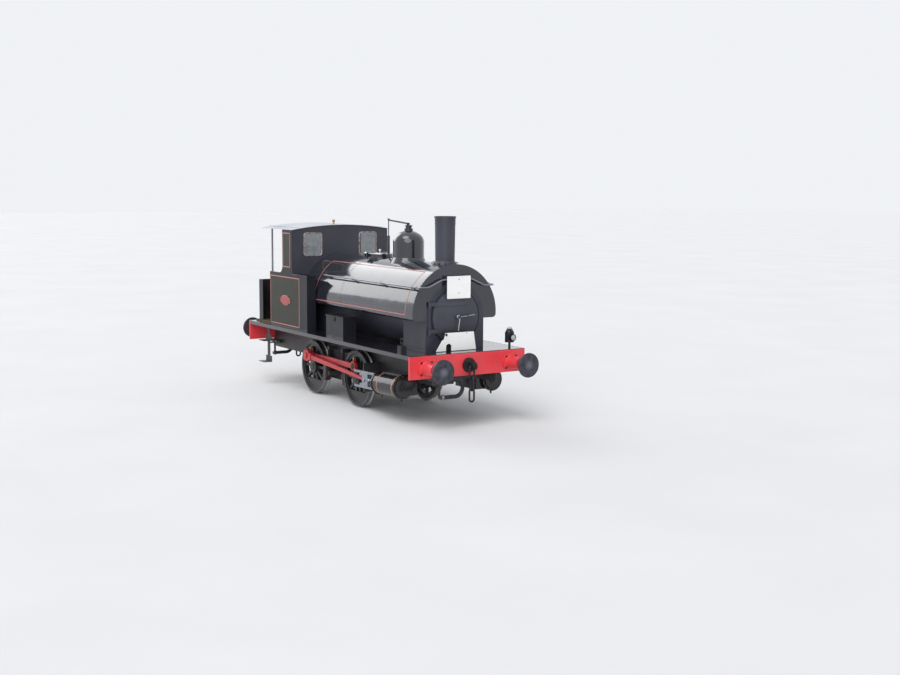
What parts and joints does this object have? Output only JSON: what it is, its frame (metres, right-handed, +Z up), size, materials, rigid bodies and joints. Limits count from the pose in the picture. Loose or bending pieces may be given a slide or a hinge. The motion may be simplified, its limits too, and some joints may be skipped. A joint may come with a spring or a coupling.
{
  "type": "steam locomotive",
  "caption": "Saddle tank steam locomotive on coupled spoked wheels, with outside cylinders, tall chimney, domed boiler and open-backed cab.",
  "frame": {"origin": "middle of the length over buffers, on the centre line, at the tips of the wheel flanges", "axes": "+X forwards along the track, +Y to the engine's left, +Z up"},
  "size_m": [7.82, 2.374, 3.599],
  "materials": {
    "black_paint": "gloss",
    "smokebox_black": "matt",
    "red_paint": "gloss",
    "rod_red": "gloss",
    "panel_paint": "satin",
    "roof_grey": "matt",
    "white_paint": "matt",
    "bright_steel": "machined",
    "dark_steel": "oily",
    "cast_iron": "rough",
    "brass": "polished",
    "rubber": "matt",
    "timber": "oiled",
    "glass": "clear"
  },
  "bodies": {
    "locomotive": {"ashpan": "black_paint", "axleboxes": "cast_iron", "boiler": "black_paint", "brake_blocks": "cast_iron", "brake_rigging": "black_paint", "buffer_heads": "dark_steel", "buffer_housings": "red_paint", "cab_back": "black_paint", "cab_fittings": "brass", "cab_floor": "timber", "cab_front": "black_paint", "cab_pillars": "bright_steel", "cab_roof": "roof_grey", "cab_sides": "panel_paint", "chimney": "smokebox_black", "cylinders": "black_paint", "dome": "black_paint", "drawhooks": "dark_steel", "frame_plates": "black_paint", "frame_stretchers": "black_paint", "front_beam": "red_paint", "handrails": "bright_steel", "headlamp": "black_paint", "leaf_springs": "dark_steel", "motion_brackets": "black_paint", "oil_boxes": "black_paint", "rear_beam": "red_paint", "rear_steps": "black_paint", "running_plate": "black_paint", "saddle_tank": "black_paint", "safety_valve": "black_paint", "side_bunkers": "black_paint", "slide_bars": "bright_steel", "smokebox": "smokebox_black", "tool_boxes": "black_paint", "vacuum_hoses": "rubber", "vacuum_pipes": "black_paint", "whistle": "brass", "window_glass": "glass"},
    "rear_wheelset": {"axle_rear": "dark_steel", "wheel_rear_left": "black_paint", "wheel_rear_right": "black_paint"},
    "front_wheelset": {"axle_front": "dark_steel", "wheel_front_left": "black_paint", "wheel_front_right": "black_paint"},
    "coupling_rod_right": {"coupling_rod_right": "rod_red"},
    "coupling_rod_left": {"coupling_rod_left": "rod_red"},
    "crosshead_right": {"crosshead_right": "bright_steel"},
    "crosshead_left": {"crosshead_left": "bright_steel"},
    "connecting_rod_right": {"connecting_rod_right": "rod_red"},
    "connecting_rod_left": {"connecting_rod_left": "rod_red"},
    "smokebox_door": {"smokebox_door": "smokebox_black", "headboard": "white_paint", "lower_board": "white_paint"},
    "filler_lid": {"filler_lid": "black_paint"},
    "firehole_door": {"firehole_door": "cast_iron"},
    "coupling_front": {"coupling_front": "dark_steel"},
    "coupling_rear": {"coupling_rear": "dark_steel"}
  },
  "joints": [
    {"name": "rear_axle_spin", "type": "hinge", "parent": "locomotive", "child": "rear_wheelset", "pos_m": [-1.075, 0, 0.549], "axis": [0, 1, 0], "continuous": true},
    {"name": "front_axle_spin", "type": "hinge", "parent": "locomotive", "child": "front_wheelset", "pos_m": [0.725, 0, 0.549], "axis": [0, 1, 0], "continuous": true},
    {"name": "coupling_rod_right_turn", "type": "hinge", "parent": "rear_wheelset", "child": "coupling_rod_right", "pos_m": [-1.075, -0.856, 0.778], "axis": [0, 1, 0], "continuous": true},
    {"name": "crosshead_right_slide", "type": "slide", "parent": "locomotive", "child": "crosshead_right", "axis": [0.9997, 0, 0.0262], "range_m": [-0.2241, 0.2339]},
    {"name": "connecting_rod_right_swing", "type": "hinge", "parent": "crosshead_right", "child": "connecting_rod_right", "pos_m": [1.3353, -0.94, 0.61212], "axis": [0, 1, 0], "range_deg": [-10.88, 0]},
    {"name": "coupling_rod_left_turn", "type": "hinge", "parent": "rear_wheelset", "child": "coupling_rod_left", "pos_m": [-1.304, 0.856, 0.549], "axis": [0, 1, 0], "continuous": true},
    {"name": "crosshead_left_slide", "type": "slide", "parent": "locomotive", "child": "crosshead_left", "axis": [0.9997, 0, 0.0262], "range_m": [-0.0001, 0.4579]},
    {"name": "connecting_rod_left_swing", "type": "hinge", "parent": "crosshead_left", "child": "connecting_rod_left", "pos_m": [1.11132, 0.94, 0.60625], "axis": [0, 1, 0], "range_deg": [-5.58, 5.3]},
    {"name": "smokebox_door_hinge", "type": "hinge", "parent": "locomotive", "child": "smokebox_door", "pos_m": [2.909, -0.54, 1.859], "axis": [0, 0, -1], "range_deg": [0, 115]},
    {"name": "filler_lid_hinge", "type": "hinge", "parent": "locomotive", "child": "filler_lid", "pos_m": [0.195, -0.298, 2.843], "axis": [1, 0, 0], "range_deg": [0, 100]},
    {"name": "firehole_door_hinge", "type": "hinge", "parent": "locomotive", "child": "firehole_door", "pos_m": [-1.685, -0.205, 1.699], "axis": [0, 0, 1], "range_deg": [0, 100]},
    {"name": "front_coupling_swing", "type": "hinge", "parent": "locomotive", "child": "coupling_front", "pos_m": [3.43, 0, 1.059], "axis": [0, -1, 0], "range_deg": [-10, 80]},
    {"name": "rear_coupling_swing", "type": "hinge", "parent": "locomotive", "child": "coupling_rear", "pos_m": [-3.43, 0, 1.059], "axis": [0, 1, 0], "range_deg": [-10, 80]}
  ],
  "couplings": [
    {"joint": "front_axle_spin", "follows": "rear_axle_spin", "ratio": 1},
    {"joint": "coupling_rod_right_turn", "follows": "rear_axle_spin", "ratio": -1},
    {"joint": "coupling_rod_left_turn", "follows": "rear_axle_spin", "ratio": -1}
  ]
}
